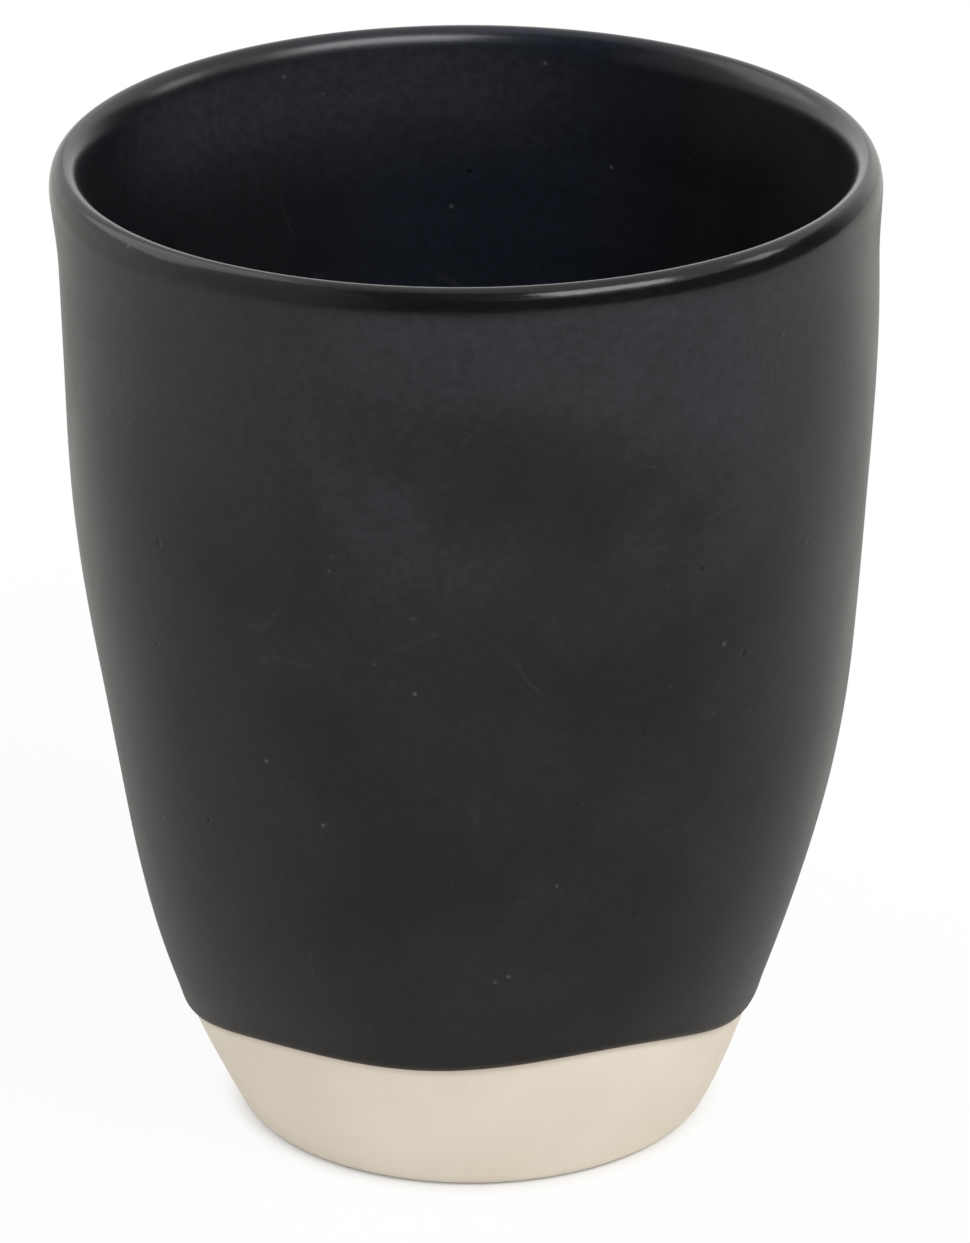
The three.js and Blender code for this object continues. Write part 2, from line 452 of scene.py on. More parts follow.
class Wiring:
    """A node tree being wired."""

    def __init__(self, tree):
        self.tree = tree

    def add(self, kind, inputs=None, **settings):
        return add_node(self.tree, kind, inputs, **settings)

    def size(self, name):
        """How a group's unplugged input is filled here. A plain tree leaves its default."""
        return None

    def use(self, group, values):
        """Places a node group. An input that isn't given takes the size of its name."""
        kind = "GeometryNodeGroup" if group.bl_idname == "GeometryNodeTree" else "ShaderNodeGroup"
        node = self.tree.nodes.new(kind)
        node.node_tree = group
        for socket in node.inputs:
            value = values[socket.name] if socket.name in values else self.size(socket.name)
            if value is not None:
                plug(value, socket)
        return {socket.name: Field(socket) for socket in node.outputs}


class Recipe(Wiring):
    """A node group with named inputs and outputs. Asking for a size by its name makes its input."""

    def __init__(self, name, kind="GeometryNodeTree"):
        super().__init__(bpy.data.node_groups.new(name, kind))
        self.start = self.tree.nodes.new("NodeGroupInput")
        self.end = self.tree.nodes.new("NodeGroupOutput")

    def takes(self, name, default=0.0):
        """An input that isn't one of the mug's sizes."""
        socket = self.tree.interface.new_socket(name=name, in_out="INPUT", socket_type="NodeSocketFloat")
        socket.default_value = default
        return Field(self.start.outputs[name])

    def gives(self, name, value, kind="NodeSocketFloat"):
        """An output."""
        self.tree.interface.new_socket(name=name, in_out="OUTPUT", socket_type=kind)
        plug(value, self.end.inputs[name])

    def size(self, name):
        """The input that holds one of the mug's sizes."""
        if name not in self.start.outputs:
            prop = size_named(name)
            socket = self.tree.interface.new_socket(
                name=name, in_out="INPUT", socket_type=SOCKET_KINDS[prop.type]
            )
            if prop.subtype in SOCKET_UNITS:
                socket.subtype = prop.subtype
            socket.default_value = prop.default
        return Field(self.start.outputs[name])

    def __getitem__(self, name):
        return self.size(name)


def shared(write):
    """Makes a node group once, named after the function that writes it, and then hands out the same one."""
    name = write.__name__.replace("_", " ").capitalize()

    def group():
        return bpy.data.node_groups.get(name) or write(name)

    return group


# The mug's section

def clay_rim_radius(mug):
    return mug["Rim Diameter"] / 2 - mug["Outside Glaze"]


def clay_at_rim(mug):
    return mug["Rim Thickness"] - mug["Outside Glaze"] - mug["Liner Glaze"]


def wall_top_height(mug):
    return mug["Height"] - mug["Rim Round"]


def floor_height(mug):
    return mug["Recess Depth"] + mug["Floor Thickness"]


def foot_flat_radius(mug):
    return mug["Foot Radius"] - mug["Foot Edge Radius"] * cos(mug["Wall Flare"])


@shared
def wall_curve(name):
    """The clay's outside from the foot's edge (part 0) to the rim's round (part 1), a Bezier curve."""
    mug = Recipe(name)
    part = mug.takes("Part")
    flare = mug["Wall Flare"]
    start = Spot(mug["Foot Radius"], mug["Foot Edge Radius"] * (1 - sin(flare)))
    end = Spot(clay_rim_radius(mug), wall_top_height(mug))
    rise = end.height - start.height
    low = start + Spot(sin(flare), cos(flare)) * (mug["Pull at Foot"] * rise)
    high = Spot(end.radius, end.height - mug["Pull at Rim"] * rise)
    rest = 1 - part
    place = start * (rest * rest * rest) + low * (3 * rest * rest * part)
    place = place + high * (3 * rest * part * part) + end * (part * part * part)
    along = (low - start) * (3 * rest * rest) + (high - low) * (6 * rest * part)
    along = along + (end - high) * (3 * part * part)
    speed = root(along.radius * along.radius + along.height * along.height)
    mug.gives("Wall Radius", place.radius)
    mug.gives("Wall Height", place.height)
    mug.gives("Along Radius", along.radius / speed)
    mug.gives("Along Height", along.height / speed)
    mug.gives("Speed", speed)
    return mug.tree


class WallSpot:
    """The wall at one part of its way up."""

    def __init__(self, mug, part):
        wall = mug.use(wall_curve(), {"Part": part})
        self.part = part
        self.place = Spot(wall["Wall Radius"], wall["Wall Height"])
        self.outward = Spot(wall["Along Height"], -wall["Along Radius"])
        self.speed = wall["Speed"]
        self.climb = wall["Along Height"] * wall["Speed"]

    def off(self, distance):
        """A point that stands off the clay, a negative distance lying inside it."""
        return self.place + self.outward * distance


@shared
def glaze_line(name):
    """How high the outside glaze stops round the mug, and at which part of the wall."""
    mug = Recipe(name)
    turn = mug.takes("Turn")
    sway = mug["Line Sway"] * cos(2 * (turn - mug["Line Sway At"]))
    ripple = mug["Line Ripple"] * cos(mug["Line Ripples"] * (turn - mug["Line Ripple At"]))
    height = mug["Glaze Line"] + sway + ripple
    part = height / mug["Height"]
    for _ in range(SOLVER_STEPS):
        wall = WallSpot(mug, part)
        part = part - (wall.place.height - height) / wall.climb
    mug.gives("Line Height", height)
    mug.gives("Line Part", part)
    return mug.tree


@shared
def inner_corner(name):
    """The round between the wall's inside and the floor: its centre, and where it leaves the wall."""
    mug = Recipe(name)
    radius = mug["Inner Corner Radius"]
    goal = floor_height(mug) + radius
    part = goal / mug["Height"]
    for _ in range(SOLVER_STEPS):
        wall = WallSpot(mug, part)
        centre = wall.off(-clay_at(mug, part) - radius)
        part = part - (centre.height - goal) / wall.climb
    wall = WallSpot(mug, part)
    centre = wall.off(-clay_at(mug, part) - radius)
    mug.gives("Corner Part", part)
    mug.gives("Centre Radius", centre.radius)
    mug.gives("Centre Height", centre.height)
    mug.gives("Leaves At", maths("ARCTAN2", wall.outward.height, wall.outward.radius))
    return mug.tree


def clay_at(mug, part):
    """Thickness of the clay wall at a part of its way up."""
    return between(mug["Wall at Foot"], clay_at_rim(mug), part)


@shared
def by_hand(name):
    """Moves a point of the true form to where the hand left it. The foot's flat and the axis stay."""
    mug = Recipe(name)
    turn = mug.takes("Turn")
    radius = mug.takes("Spot Radius")
    height = mug.takes("Spot Height")
    rim_radius = mug["Rim Diameter"] / 2
    up = height / mug["Height"]
    grown = smooth(height, 0.0, mug["True Foot Height"])
    swell = between(mug["Lobe at Foot"], mug["Lobe at Rim"], up)
    lobe = swell * cos(mug["Lobes"] * (turn - mug["Lobe Twist"] * up))
    climb = (height - mug["Ridge Start"]) / mug["Ridge Pitch"]
    ridge = mug["Throwing Ridge"] * cos(FULL_TURN * climb - turn)
    around = vector(rim_radius * cos(turn), rim_radius * sin(turn), height)
    noise = {"Vector": around, "Scale": 1 / mug["Dent Size"], "Detail": DENT_DETAIL}
    dents = mug.add("ShaderNodeTexNoise", noise)
    dent = mug["Dents"] * (2 * Field(dents.outputs[0]) - 1)
    flare = mug["Lip Flare"] * smooth(height, mug["Height"] - mug["Lip Flare Height"], mug["Height"])
    moved = radius * (1 + (grown * (lobe + ridge + dent) + flare) / rim_radius)
    wave = mug["Rim Wave"] * cos(2 * (turn - mug["Rim Wave At"])) * (radius / rim_radius)
    lifted = height + smooth(up, 0.0, 1.0) * wave
    place = vector(moved * cos(turn) + mug["Lean"] * up, moved * sin(turn), lifted)
    mug.gives("Place", place, "NodeSocketVector")
    return mug.tree


# The three pieces, strip by strip. Fine relief stays full over its span of a strip.

TURNING_LINE_SPAN = (0.1, 0.95)
INNER_RING_SPAN = (0.08, 0.92)
FLOOR_SPIRAL_SPAN = (0.25, 0.75)


class Turning(Recipe):
    """A tree that turns the section, strip by strip, into one closed body."""

    def __init__(self, name):
        super().__init__(name)
        place = self.add("ShaderNodeSeparateXYZ", {0: self.add("GeometryNodeInputPosition").outputs[0]})
        self.turn = (Field(place.outputs["X"]) + 0.5) * FULL_TURN
        self.part = Field(place.outputs["Y"]) + 0.5
        self.line = self.use(glaze_line(), {"Turn": self.turn})
        self.corner = self.use(inner_corner(), {})
        self.strips = []

    def strip(self, steps, section):
        """One band of the surface, as many steps wide, where the section's point says at each part."""
        rows = {"Size X": 1.0, "Size Y": 1.0, "Vertices X": self["Segments"] + 1, "Vertices Y": steps + 1}
        mesh = self.add("GeometryNodeMeshGrid", rows).outputs["Mesh"]
        spot = section(self.part)
        marks = {
            "above_line": spot.height - self.line["Line Height"],
            "below_crest": self["Height"] - spot.height,
        }
        for name, value in marks.items():
            kept = {"Geometry": mesh, "Name": name, "Value": value}
            mesh = self.add("GeometryNodeStoreNamedAttribute", kept).outputs[0]
        point = {"Turn": self.turn, "Spot Radius": spot.radius, "Spot Height": spot.height}
        place = self.use(by_hand(), point)["Place"]
        moved = self.add("GeometryNodeSetPosition", {"Geometry": mesh, "Position": place})
        self.strips.append(moved.outputs[0])

    def close(self, material):
        """Joins the strips, with edges only where the surface has them, and gives them their finish."""
        joined = self.add("GeometryNodeJoinGeometry")
        for mesh in reversed(self.strips):
            plug(mesh, joined.inputs[0])
        merge = {"Geometry": joined.outputs[0], "Distance": MERGE_DISTANCE}
        merged = self.add("GeometryNodeMergeByDistance", merge).outputs[0]
        rounded = self.add("GeometryNodeSetShadeSmooth", {"Geometry": merged}).outputs[0]
        bend = Field(self.add("GeometryNodeInputMeshEdgeAngle").outputs["Unsigned Angle"])
        sharp = {
            "Geometry": rounded,
            "Selection": maths("GREATER_THAN", bend, SEAM_ANGLE),
            "Shade Smooth": False,
        }
        edged = self.add("GeometryNodeSetShadeSmooth", sharp, domain="EDGE").outputs[0]
        real = self.add("GeometryNodeRealizeInstances", {"Geometry": edged}).outputs[0]
        finish = {"Geometry": real, "Material": material}
        finished = self.add("GeometryNodeSetMaterial", finish).outputs[0]
        self.gives("Body", finished, "NodeSocketGeometry")
        return self.tree

    def on_rim(self, turn, width, coat):
        """A point on one side of the rim's round, which is as wide as given under its coat."""
        crest_radius = clay_rim_radius(self) - clay_at_rim(self) * self["Crest Place"]
        rise = self["Rim Round"] - self["Outside Glaze"]
        middle = Spot(crest_radius, wall_top_height(self))
        return middle + Spot(cos(turn) * (width + coat), sin(turn) * (rise + coat))

    def rim_outside(self, part, coat):
        """A point from the top of the wall (part 0) to the crest (part 1), the rows closing up there."""
        width = clay_at_rim(self) * self["Crest Place"]
        return self.on_rim(QUARTER_TURN * part * (2 - part), width, coat)

    def rim_inside(self, part, coat):
        """A point from the crest (part 0) to the top of the inside (part 1)."""
        width = clay_at_rim(self) * (1 - self["Crest Place"])
        return self.on_rim(QUARTER_TURN * (1 + part * part), width, coat)

    def on_inside(self, part, coat):
        """A point on the wall's inside, from the rim (part 0) to the corner (part 1)."""
        wall = WallSpot(self, between(1.0, self.corner["Corner Part"], part))
        return wall.off(-clay_at(self, wall.part) - coat)

    def on_corner(self, part, coat):
        """A point on the round between the wall's inside and the floor."""
        centre = Spot(self.corner["Centre Radius"], self.corner["Centre Height"])
        turn = between(self.corner["Leaves At"], -QUARTER_TURN, part)
        return centre + direction(turn) * (self["Inner Corner Radius"] - coat)

    def on_floor(self, part, coat):
        """A point on the floor, from the corner (part 0) to the axis (part 1)."""
        return Spot(self.corner["Centre Radius"] * (1 - part), floor_height(self) + coat)

    def strip_back(self, steps, section):
        """A strip that runs the other way along its section."""
        self.strip(steps, lambda part: section(1 - part))


def clay_tree(material):
    """The fired clay: foot ring, foot, wall, rim, inside and floor in one closed body."""
    mug = Turning("Thrown clay")
    edge_radius = mug["Foot Edge Radius"]
    flat_radius = foot_flat_radius(mug)
    ring_radius = flat_radius - mug["Foot Ring Width"]
    recess_radius = ring_radius - mug["Recess Bevel"]
    line = mug.line["Line Part"]

    def recess(part):
        return Spot(recess_radius * part, mug["Recess Depth"])

    def slope(part):
        return Spot(between(recess_radius, ring_radius, part), mug["Recess Depth"] * smooth(part, 1.0, 0.0))

    def ring(part):
        return Spot(between(ring_radius, flat_radius, part), 0.0 * part)

    def edge(part):
        turn = between(-QUARTER_TURN, -mug["Wall Flare"], part)
        return Spot(flat_radius, edge_radius) + direction(turn) * edge_radius

    def foot(part):
        wall = WallSpot(mug, line * part)
        lines = wall.place.height / mug["Turning Line Pitch"] + mug.turn / FULL_TURN
        return wall.off(mug["Turning Lines"] * within(part, *TURNING_LINE_SPAN) * cos(FULL_TURN * lines))

    def wall(part):
        return WallSpot(mug, between(line, 1.0, part)).off(0.0)

    mug.strip(mug["Floor Steps"], recess)
    mug.strip(mug["Corner Steps"], slope)
    mug.strip(mug["Corner Steps"], ring)
    mug.strip(mug["Corner Steps"], edge)
    mug.strip(mug["Foot Steps"], foot)
    mug.strip(mug["Hidden Steps"], wall)
    mug.strip(mug["Rim Steps"], lambda part: mug.rim_outside(part, 0.0))
    mug.strip(mug["Rim Steps"], lambda part: mug.rim_inside(part, 0.0))
    mug.strip(mug["Hidden Steps"], lambda part: mug.on_inside(part, 0.0))
    mug.strip(mug["Corner Steps"], lambda part: mug.on_corner(part, 0.0))
    mug.strip(mug["Corner Steps"], lambda part: mug.on_floor(part, 0.0))
    return mug.close(material)


def outside_glaze_tree(material):
    """The outside coat, from the lip above the bare foot to the crest of the rim."""
    mug = Turning("Outside glaze")
    line = mug.line["Line Part"]
    coat = mug["Outside Glaze"]
    under = -mug["Coat Bite"]
    at_line = WallSpot(mug, line)
    lip = mug["Glaze Lip"] / at_line.speed

    def thick(part):
        """The coat with the roll along its edge."""
        return coat + mug["Edge Roll"] * smooth((part - line) * at_line.speed, mug["Edge Roll Height"], 0.0)

    def rounded_lip(part):
        turn = QUARTER_TURN * part
        wall = WallSpot(mug, line + lip * (1 - cos(turn)))
        return wall.off(between(under, thick(wall.part), sin(turn)))

    def wall(part):
        spot = WallSpot(mug, between(line + lip, 1.0, part))
        return spot.off(thick(spot.part))

    def covered_wall(part):
        return WallSpot(mug, between(line, 1.0, part)).off(under)

    mug.strip(mug["Corner Steps"], rounded_lip)
    mug.strip(mug["Wall Steps"], wall)
    mug.strip(mug["Rim Steps"], lambda part: mug.rim_outside(part, coat))
    mug.strip_back(1, lambda part: mug.rim_outside(1.0, between(under, coat, part)))
    mug.strip_back(mug["Corner Steps"], lambda part: mug.rim_outside(part, under))
    mug.strip_back(mug["Hidden Steps"], covered_wall)
    return mug.close(material)


def liner_glaze_tree(material):
    """The liner coat, from the crest of the rim down the inside and over the floor."""
    mug = Turning("Liner glaze")
    coat = mug["Liner Glaze"]
    under = -mug["Coat Bite"]

    def ringed(part):
        plain = mug.on_inside(part, coat)
        rings = plain.height / mug["Inner Ring Pitch"] - mug.turn / FULL_TURN
        height = mug["Inner Rings"] * within(part, *INNER_RING_SPAN)
        return mug.on_inside(part, coat + height * cos(FULL_TURN * rings))

    def spiral_floor(part):
        plain = mug.on_floor(part, coat)
        turns = plain.radius / mug["Floor Spiral Pitch"] + mug.turn / FULL_TURN
        height = mug["Floor Spiral"] * within(part, *FLOOR_SPIRAL_SPAN)
        return plain + Spot(0.0, height * cos(FULL_TURN * turns))

    mug.strip_back(mug["Corner Steps"], lambda part: mug.on_floor(part, under))
    mug.strip_back(mug["Corner Steps"], lambda part: mug.on_corner(part, under))
    mug.strip_back(mug["Hidden Steps"], lambda part: mug.on_inside(part, under))
    mug.strip_back(mug["Corner Steps"], lambda part: mug.rim_inside(part, under))
    mug.strip(1, lambda part: mug.rim_inside(0.0, between(under, coat, part)))
    mug.strip(mug["Rim Steps"], lambda part: mug.rim_inside(part, coat))
    mug.strip(mug["Wall Steps"], ringed)
    mug.strip(2 * mug["Corner Steps"], lambda part: mug.on_corner(part, coat))
    mug.strip(mug["Floor Steps"], spiral_floor)
    return mug.close(material)


def turned_piece(name, tree, sizes):
    """Runs a tree in a modifier, keeps its result as a plain mesh and removes the modifier."""
    piece = bpy.data.objects.new(name, bpy.data.meshes.new(name))
    bpy.context.scene.collection.objects.link(piece)
    modifier = piece.modifiers.new(tree.name, "NODES")
    modifier.node_group = tree
    for item in tree.interface.items_tree:
        if item.in_out == "INPUT":
            modifier[item.identifier] = sizes[item.name]
    evaluated = piece.evaluated_get(bpy.context.evaluated_depsgraph_get())
    mesh = bpy.data.meshes.new_from_object(evaluated)
    piece.modifiers.remove(modifier)
    piece.data = mesh
    mesh.name = name
    check_closed(mesh)
    return piece


def check_closed(mesh):
    """Stops the work if a surface has a hole or a flap: each edge has exactly two faces."""
    faces_at = {}
    for polygon in mesh.polygons:
        for key in polygon.edge_keys:
            faces_at[key] = faces_at.get(key, 0) + 1
    open_edges = sum(faces != 2 for faces in faces_at.values()) + len(mesh.edges) - len(faces_at)
    if open_edges or not mesh.polygons:
        raise RuntimeError(f"{mesh.name} isn't one closed surface: {open_edges} edges lack two faces")


def stands_for(piece, node):
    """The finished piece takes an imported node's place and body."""
    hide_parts(node)
    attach(piece, BODY)


# What the finishes are made of, in metres and parts of a whole. Fades run from none to full.

CLOUD_DETAIL = {"Detail": 3.0, "Roughness": 0.55}
GRAIN_DETAIL = {"Detail": 5.0, "Roughness": 0.6}

# A speck's full core as a part of its radius
SPECK_CORE = 0.4

# The patches that keep stretches of the scuffs: how much finer than the scuffs, and their soft edge
SCUFF_PATCHES = 3.1
SCUFF_PATCH_EDGE = 0.08

CLAY_CLOUDS = {"Size": 0.014, "Softness": 0.25}
CLAY_SPECKS = {"Spacing": 0.0021, "Radius": 0.00017, "Kept": 0.3}
CLAY_GRAIN = {"Size": 0.0005}
CLAY_RELIEF = 0.00006
CLAY_ROUGHNESS = (0.82, 0.95)
CLAY_IOR = 1.45
CLAY_CLOUD_PART = 0.45
CLAY_SPECK_PART = 0.30
BELOW_LINE_FADES = (-0.0011, -0.0001)
BELOW_LINE_PART = 0.35

GLAZE_CLOUDS = {"Size": 0.017, "Softness": 0.22}
GLAZE_MOTTLE = {"Size": 0.0009, "Softness": 0.25}
GLAZE_SPECKS = {"Spacing": 0.0056, "Radius": 0.00033, "Kept": 0.70}
GLAZE_PINHOLES = {"Spacing": 0.0052, "Radius": 0.00045, "Kept": 0.30}
GLAZE_PITS = {"Spacing": 0.0021, "Radius": 0.00026, "Kept": 0.32}
GLAZE_SCUFFS = {"Spacing": 0.014, "Width": 0.00014, "Kept": 0.36}
GLAZE_RIPPLE = {"Size": 0.0016}
GLAZE_RELIEF = 0.00002
RIM_FADES = (0.0040, 0.0012)
MOTTLE_PART = 0.4
PINHOLE_SHADE_PART = 0.9
PINHOLE_DEPTH = 2
PIT_PART = 0.05
PIT_DEPTH = 1.1
SPECK_PART = 0.28
SCUFF_PART = 0.17
CLOUD_ROUGHNESS = 0.08

OUTSIDE_DRIFT = {"Size": 0.034, "Softness": 0.16}
OUTSIDE_DRIFT_DEPTH = 0.014
OUTSIDE_LIGHTENING_STARTS = (0.0018, 0.0036)
OUTSIDE_LIGHTENING_ENDS = (0.029, 0.012)
OUTSIDE_LIGHTENING_PARTS = (0.7, 1.0)
VIOLET_SIDE = math.radians(-78)
VIOLET_FADES = (0.70, 0.93)
VIOLET_PARTS = (0.6, 1.0)
THIN_EDGE_FADES = (0.0009, 0.0001)
OUTSIDE_ROUGHNESS = 0.30
OUTSIDE_RIM_ROUGHNESS = 0.15
OUTSIDE_IOR = 1.44

RUN_SIDE = math.radians(88)
RUN_FADES = (0.80, 1.0)
# Painted light on the inside wall below the rim at the back left: its side, its fades and its depths below
# the crest
LINER_PAINTED_LIGHT_SIDE = math.radians(115)
LINER_PAINTED_LIGHT_FADES = (0.62, 0.95)
LINER_PAINTED_LIGHT_DEPTHS = (0.0012, 0.0030, 0.006, 0.017)
LINER_ROUGHNESS = 0.50
LINER_RIM_ROUGHNESS = 0.24
LINER_IOR = 1.33
LINER_RIM_COAT_IOR = 1.28


# Materials

class Finish(Wiring):
    """A material being wired round its one shader."""

    def __init__(self, name):
        self.material = bpy.data.materials.new(name)
        self.material.use_nodes = True
        super().__init__(self.material.node_tree)
        self.shader = self.tree.nodes["Principled BSDF"]

    def set(self, **values):
        """Sets the shader's sockets, words in their names joined by underscores."""
        for name, value in values.items():
            plug(value, self.shader.inputs[name.replace("_", " ").title().replace("Ior", "IOR")])

    def mark(self, name):
        """A value that the turning left on the surface."""
        return Field(self.add("ShaderNodeAttribute", attribute_name=name).outputs["Fac"])

    def tint(self, part, plain, other):
        """A colour that goes from one to the other as the part goes from 0 to 1."""
        node = self.add("ShaderNodeMix", {0: part}, data_type="RGBA")
        for value, index in zip((plain, other), MIX_COLOURS):
            plug(value if isinstance(value, bpy.types.NodeSocket) else (*value, 1.0), node.inputs[index])
        return node.outputs[MIX_COLOUR_OUT]

    def bump(self, height, distance):
        """A relief on the surface, as deep as the distance in metres."""
        relief = {"Height": height, "Distance": distance, "Strength": 1.0}
        plug(self.add("ShaderNodeBump", relief).outputs[0], self.shader.inputs["Normal"])


def object_place(recipe):
    """The place on the piece, in metres."""
    return recipe.add("ShaderNodeTexCoord").outputs["Object"]


@shared
def clouds(name):
    """A soft change over the surface, from 0 to 1."""
    recipe = Recipe(name, "ShaderNodeTree")
    size = recipe.takes("Size", 0.02)
    edge = recipe.takes("Softness", 0.2)
    noise = {"Vector": object_place(recipe), "Scale": 1 / size, **CLOUD_DETAIL}
    value = Field(recipe.add("ShaderNodeTexNoise", noise).outputs[0])
    recipe.gives("Cloud", smooth(value, 0.5 - edge, 0.5 + edge))
    return recipe.tree


@shared
def fine_grain(name):
    """The fine unevenness of a fired surface, from 0 to 1."""
    recipe = Recipe(name, "ShaderNodeTree")
    size = recipe.takes("Size", 0.001)
    noise = {"Vector": object_place(recipe), "Scale": 1 / size, **GRAIN_DETAIL}
    recipe.gives("Grain", recipe.add("ShaderNodeTexNoise", noise).outputs[0])
    return recipe.tree


@shared
def specks(name):
    """Scattered round specks, 1 inside one and 0 outside."""
    recipe = Recipe(name, "ShaderNodeTree")
    spacing = recipe.takes("Spacing", 0.005)
    radius = recipe.takes("Radius", 0.0002)
    kept = recipe.takes("Kept", 0.3)
    cells = recipe.add("ShaderNodeTexVoronoi", {"Vector": object_place(recipe), "Scale": 1 / spacing})
    chance = Field(recipe.add("ShaderNodeSeparateColor", {0: cells.outputs["Color"]}).outputs["Red"])
    dot = smooth(Field(cells.outputs["Distance"]) * spacing, radius, radius * SPECK_CORE)
    recipe.gives("Speck", dot * maths("LESS_THAN", chance, kept))
    return recipe.tree


def plain_noise(recipe, scale):
    """A smooth random field without finer detail."""
    noise = {"Vector": object_place(recipe), "Scale": scale, "Detail": 0.0}
    return Field(recipe.add("ShaderNodeTexNoise", noise).outputs[0])


@shared
def scuffs(name):
    """Faint curved hairlines, 1 on one and 0 off it."""
    recipe = Recipe(name, "ShaderNodeTree")
    spacing = recipe.takes("Spacing", 0.02)
    width = recipe.takes("Width", 0.0002)
    kept = recipe.takes("Kept", 0.3)
    level = plain_noise(recipe, 1 / spacing)
    line = smooth(maths("ABSOLUTE", level - 0.5), width / spacing, 0.0)
    patch = plain_noise(recipe, SCUFF_PATCHES / spacing)
    recipe.gives("Scuff", line * smooth(patch, 1.0 - kept, 1.0 - kept + SCUFF_PATCH_EDGE))
    return recipe.tree


def clay_material(colours):
    """Bare stoneware: fine grain, faint iron specks, and a darker band just below the glaze's edge."""
    clay = Finish("Bare clay")
    above_line = clay.mark("above_line")
    cloud = clay.use(clouds(), CLAY_CLOUDS)["Cloud"]
    speck = clay.use(specks(), CLAY_SPECKS)["Speck"]
    grain = clay.use(fine_grain(), CLAY_GRAIN)["Grain"]
    # A darker band on the clay within about a millimetre below the glaze's edge
    below_line_band = smooth(above_line, *BELOW_LINE_FADES)
    base = clay.tint(cloud * CLAY_CLOUD_PART, colours.clay, colours.clay_shade)
    base = clay.tint(speck * CLAY_SPECK_PART, base, colours.clay_speck)
    base = clay.tint(below_line_band * BELOW_LINE_PART, base, colours.clay_speck)
    clay.set(base_color=base, roughness=between(*CLAY_ROUGHNESS, grain), ior=CLAY_IOR)
    clay.bump(grain, CLAY_RELIEF)
    return clay.material


class Glaze(Finish):
    """A satin black glaze: clouded and mottled, with pits, painted shade in its pinholes, specks and scuffs,
    glossier at the rim.
    """

    def __init__(self, name, black, thin, colours):
        super().__init__(name)
        self.below_crest = self.mark("below_crest")
        self.at_rim = smooth(self.below_crest, *RIM_FADES)
        self.cloud = self.use(clouds(), GLAZE_CLOUDS)["Cloud"]
        self.mottle = self.use(clouds(), GLAZE_MOTTLE)["Cloud"]
        self.speck = self.use(specks(), GLAZE_SPECKS)["Speck"]
        self.pinhole = self.use(specks(), GLAZE_PINHOLES)["Speck"]
        self.pit = self.use(specks(), GLAZE_PITS)["Speck"]
        self.scuff = self.use(scuffs(), GLAZE_SCUFFS)["Scuff"]
        self.colours = colours
        # Painted shade: the clouding is held off the rim, so the rim keeps the plain black and the dark band
        # along it shows darker
        self.base = self.tint(self.cloud * (1 - self.at_rim), black, thin)

    def band(self, high, full_high, full_low, low):
        """1 between two depths below the crest, dying out beyond them."""
        return smooth(self.below_crest, high, full_high) * smooth(self.below_crest, low, full_low)

    def facing(self, turn):
        """The cosine of the angle from a direction round the mug's axis."""
        place = self.add("ShaderNodeSeparateXYZ", {0: object_place(self)}).outputs
        across, along = Field(place["X"]), Field(place["Y"])
        return (across * cos(turn) + along * sin(turn)) / root(across * across + along * along)

    def cover(self, part, colour):
        """Lays a colour over the base."""
        self.base = self.tint(part, self.base, colour)

    def fire(self, roughness, rim_roughness):
        """Adds the marks that every glaze has, and sets the shader."""
        self.cover(self.mottle * MOTTLE_PART, self.colours.deep)
        # Painted shade: the pinholes are darkened at their bottoms
        self.cover(self.pinhole * PINHOLE_SHADE_PART, self.colours.deep)
        self.cover(self.speck * SPECK_PART, self.colours.pale_speck)
        self.cover(self.pit * (1 - self.at_rim) * PIT_PART, self.colours.pale_speck)
        self.cover(self.scuff * (1 - self.at_rim) * SCUFF_PART, self.colours.scuff)
        rough = between(roughness, roughness + CLOUD_ROUGHNESS, self.cloud)
        self.set(base_color=self.base, roughness=between(rough, rim_roughness, self.at_rim))
        ripple = self.use(fine_grain(), GLAZE_RIPPLE)["Grain"]
        pits = self.pit * (1 - self.at_rim) * PIT_DEPTH
        self.bump(ripple - self.pinhole * PINHOLE_DEPTH - pits, GLAZE_RELIEF)
        return self.material


def outside_material(colours):
    """The outside glaze: a lighter tone over its upper part, violet on the side towards the camera, and
    brown where it breaks along its edge.
    """
    glaze = Glaze("Satin black glaze", colours.outside_black, colours.outside_cloud, colours)
    drift = glaze.use(clouds(), OUTSIDE_DRIFT)["Cloud"]
    depth = glaze.below_crest + OUTSIDE_DRIFT_DEPTH * (0.5 - drift)
    # A lighter tone over the upper wall, violet on the side towards the camera
    lightening = smooth(glaze.below_crest, *OUTSIDE_LIGHTENING_STARTS) * smooth(depth, *OUTSIDE_LIGHTENING_ENDS)
    violet = smooth(glaze.facing(VIOLET_SIDE), *VIOLET_FADES) * between(*VIOLET_PARTS, drift)
    tone = glaze.tint(violet, colours.outside_bloom, colours.outside_violet)
    glaze.cover(lightening * between(*OUTSIDE_LIGHTENING_PARTS, glaze.cloud), tone)
    glaze.cover(smooth(glaze.mark("above_line"), *THIN_EDGE_FADES), colours.thin_edge)
    glaze.set(ior=OUTSIDE_IOR)
    return glaze.fire(OUTSIDE_ROUGHNESS, OUTSIDE_RIM_ROUGHNESS)


